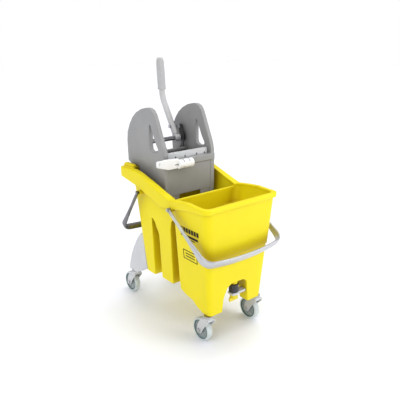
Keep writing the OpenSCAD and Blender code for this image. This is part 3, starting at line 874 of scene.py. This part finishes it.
@dataclass
class Lever:
    """The bent lever with its fluted grip."""

    plane_x: float = 0.061
    radius: float = 0.0109
    lean_low: float = 31.0
    lean_high: float = 4.5
    bend_at: float = 0.163
    start: float = 0.014
    soften: float = 0.022
    grip_from: float = 0.028
    grip_to: float = 0.141
    flutes: int = 12
    flute_depth: float = 0.0017
    tube_steps: int = 36
    grip_steps: int = 96

    def _along(self, lean: float) -> Vector:
        """Direction of a straight that leans back by so many degrees."""
        a = math.radians(lean)
        return Vector((0.0, math.sin(a), math.cos(a)))

    def _bend(self) -> Vector:
        """Where the two straights meet."""
        shaft = joint_place("lever_swing")
        foot = Vector((self.plane_x, shaft.y, shaft.z))
        return foot + self._along(self.lean_low) * self.bend_at

    def build(self) -> None:
        """Makes the tube and the grip."""
        bend = self._bend()
        low, high = self._along(self.lean_low), self._along(self.lean_high)
        first = bend - low * (self.bend_at - self.start)
        a, b = bend - low * self.soften, bend + high * self.soften
        line = [first.lerp(a, i / 8) for i in range(8)]
        for i in range(11):
            t = i / 10
            line.append(a * (1 - t) ** 2 + bend * 2 * t * (1 - t) + b * t * t)
        top = bend + high * (self.grip_to - 0.013)
        line += [b.lerp(top, i / 8) for i in range(1, 9)]
        side = Vector((1.0, 0.0, 0.0))
        rings = []
        for i, p in enumerate(line):
            ahead = line[min(i + 1, len(line) - 1)] - line[max(i - 1, 0)]
            up = ahead.normalized().cross(side)
            rings.append([p + (side * math.cos(t) + up * math.sin(t)) * self.radius
                          for t in (2 * math.pi * k / self.tube_steps
                                    for k in range(self.tube_steps))])
        piece("lever_tube_bent", finish_mesh(skin(rings), "lever_tube"), "lever", LEVER,
              "lever_paint", ["lever_tube"])
        self._grip(bend, high)

    def _grip(self, bend: Vector, up: Vector) -> None:
        """Makes the fluted grip.

        Args:
            bend: where the upper straight starts.
            up: its direction.
        """
        f, t = self.grip_from, self.grip_to
        outline = [(f, 0.0118, 0.0), (f, 0.0152, 0.0), (f + 0.001, 0.0157, 0.0),
                   (f + 0.003, 0.0158, 0.0), (f + 0.0045, 0.0152, 0.0), (f + 0.007, 0.0146, 0.1),
                   (f + 0.012, 0.0143, 0.8), (f + 0.02, 0.0144, 1.0), (f + 0.045, 0.0148, 1.0),
                   (f + 0.07, 0.0147, 1.0), (t - 0.026, 0.0143, 1.0), (t - 0.017, 0.0136, 0.8),
                   (t - 0.010, 0.0127, 0.3), (t - 0.006, 0.0117, 0.1), (t - 0.003, 0.0102, 0.0),
                   (t - 0.0012, 0.0084, 0.0), (t - 0.0003, 0.0060, 0.0), (t, 0.0030, 0.0)]
        side = Vector((1.0, 0.0, 0.0))
        other = up.cross(side)
        rings = []
        for along, r, depth in outline:
            centre = bend + up * along
            ring = []
            for k in range(self.grip_steps):
                a = 2 * math.pi * k / self.grip_steps
                wave = 0.5 - 0.5 * math.cos(self.flutes * a)
                cut = depth * self.flute_depth * wave ** 2
                ring.append(centre + (side * math.cos(a) + other * math.sin(a)) * (r - cut))
            rings.append(ring)
        piece("lever_grip_fluted", finish_mesh(skin(rings), "lever_grip"), "lever", GRIP,
              "grip_plastic", ["lever_grip"])

    def dress(self) -> None:
        """Finishes the lever's small parts."""
        for node, finish in (("lever_hub", LEVER), ("lever_bolt", FIXING),
                             ("lever_nut", FIXING)):
            paint(frame["nodes"][node], finish)


# ---- the studio ------------------------------------------------------------


@dataclass
class Studio:
    """A plain pale floor, soft lights and the camera."""

    eye: Vector = field(default_factory=lambda: Vector((-1.0020, -1.1793 + offset_y(), 0.9475)))
    pitch_deg: float = 18.318
    turn_deg: float = 39.310
    lens: float = 44.267
    sky_low: float = 0.20
    sky_high: float = 0.90

    def build(self) -> None:
        """Adds the floor, the lights and the camera."""
        self._floor()
        self._sky()
        self._panel("key", Vector((1.5, -2.3, 1.1)), 1.7, 31.0)
        self._sun("left", Vector((-1.0, -0.35, 0.55)), 55.0, 1.15)
        self._sun("top", Vector((0.2, 0.1, 1.0)), 40.0, 1.25)
        self._camera()
        view = bpy.context.scene.view_settings
        view.view_transform = "Standard"
        view.look = "None"

    def _floor(self) -> None:
        """Lays the floor."""
        bm = bmesh.new()
        bmesh.ops.create_grid(bm, x_segments=8, y_segments=8, size=14.0)
        mesh = bpy.data.meshes.new("floor")
        bm.to_mesh(mesh)
        bm.free()
        floor = bpy.data.objects.new("floor", mesh)
        bpy.context.scene.collection.objects.link(floor)
        paint(floor, FLOOR)

    def _sky(self) -> None:
        """Surrounds the set with a sky that brightens upwards, and a white backdrop."""
        world = bpy.data.worlds.new("surround")
        bpy.context.scene.world = world
        world.use_nodes = True
        tree = world.node_tree
        back = tree.nodes["Background"]
        back.inputs["Color"].default_value = (1.0, 1.0, 1.0, 1.0)
        split = tree.nodes.new("ShaderNodeSeparateXYZ")
        tree.links.new(tree.nodes.new("ShaderNodeTexCoord").outputs["Generated"], split.inputs[0])
        rise = tree.nodes.new("ShaderNodeMapRange")
        rise.inputs["To Min"].default_value = self.sky_low
        rise.inputs["To Max"].default_value = self.sky_high
        tree.links.new(split.outputs["Z"], rise.inputs["Value"])
        tree.links.new(rise.outputs["Result"], back.inputs["Strength"])
        white = tree.nodes.new("ShaderNodeBackground")
        choose = tree.nodes.new("ShaderNodeMixShader")
        path = tree.nodes.new("ShaderNodeLightPath")
        white.inputs["Color"].default_value = (1.0, 1.0, 1.0, 1.0)
        tree.links.new(path.outputs["Is Camera Ray"], choose.inputs[0])
        tree.links.new(back.outputs[0], choose.inputs[1])
        tree.links.new(white.outputs[0], choose.inputs[2])
        tree.links.new(choose.outputs[0], tree.nodes["World Output"].inputs["Surface"])

    def _sun(self, name: str, toward: Vector, spread_deg: float, strength: float) -> None:
        """Adds a wide, soft light from one direction.

        Args:
            name: the lamp's name.
            toward: direction from the object to the light.
            spread_deg: its apparent size.
            strength: its strength.
        """
        data = bpy.data.lights.new(name, "SUN")
        data.angle = math.radians(spread_deg)
        data.energy = strength
        lamp = bpy.data.objects.new(name, data)
        lamp.rotation_euler = (-toward).to_track_quat("-Z", "Y").to_euler()
        bpy.context.scene.collection.objects.link(lamp)

    def _panel(self, name: str, place: Vector, size: float, watts: float) -> None:
        """Adds one soft panel aimed at the object's middle.

        Args:
            name: the lamp's name.
            place: where it stands.
            size: its side.
            watts: its power.
        """
        data = bpy.data.lights.new(name, "AREA")
        data.shape = "SQUARE"
        data.size = size
        data.energy = watts
        lamp = bpy.data.objects.new(name, data)
        lamp.location = place
        aim = Vector((0.0, 0.0, 0.4)) - place
        lamp.rotation_euler = aim.to_track_quat("-Z", "Y").to_euler()
        bpy.context.scene.collection.objects.link(lamp)

    def _camera(self) -> None:
        """Places the camera."""
        data = bpy.data.cameras.new("camera")
        data.sensor_width = 36.0
        data.lens = self.lens
        data.clip_start = 0.02
        camera = bpy.data.objects.new("camera", data)
        camera.location = self.eye
        camera.rotation_euler = (math.radians(90.0 - self.pitch_deg), 0.0,
                                 math.radians(-self.turn_deg))
        bpy.context.scene.collection.objects.link(camera)
        bpy.context.scene.camera = camera


def parts() -> Iterable[object]:
    """The object's sub-assemblies, in building order."""
    yield Bucket()
    yield Bail("bail_front", "bail_front_hinge", BAIL_STEEL, "bail_steel", 0.2331, 35.1,
               False, 0.0346)
    yield Bail("bail_rear", "bail_rear_hinge", REAR_STEEL, "rear_bail_steel", 0.2087, 55.0,
               True, 0.0258)
    for corner in Corner:
        yield Castor(corner)
    yield Wringer()
    yield Lever()


def main() -> None:
    """Builds the object and its studio."""
    logging.basicConfig(level=logging.INFO, format="%(name)s: %(message)s")
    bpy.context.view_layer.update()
    Studio().build()
    for part in parts():
        part.build()
        dress: Callable[[], None] | None = getattr(part, "dress", None)
        if dress:
            dress()


if __name__ == "__main__":
    main()
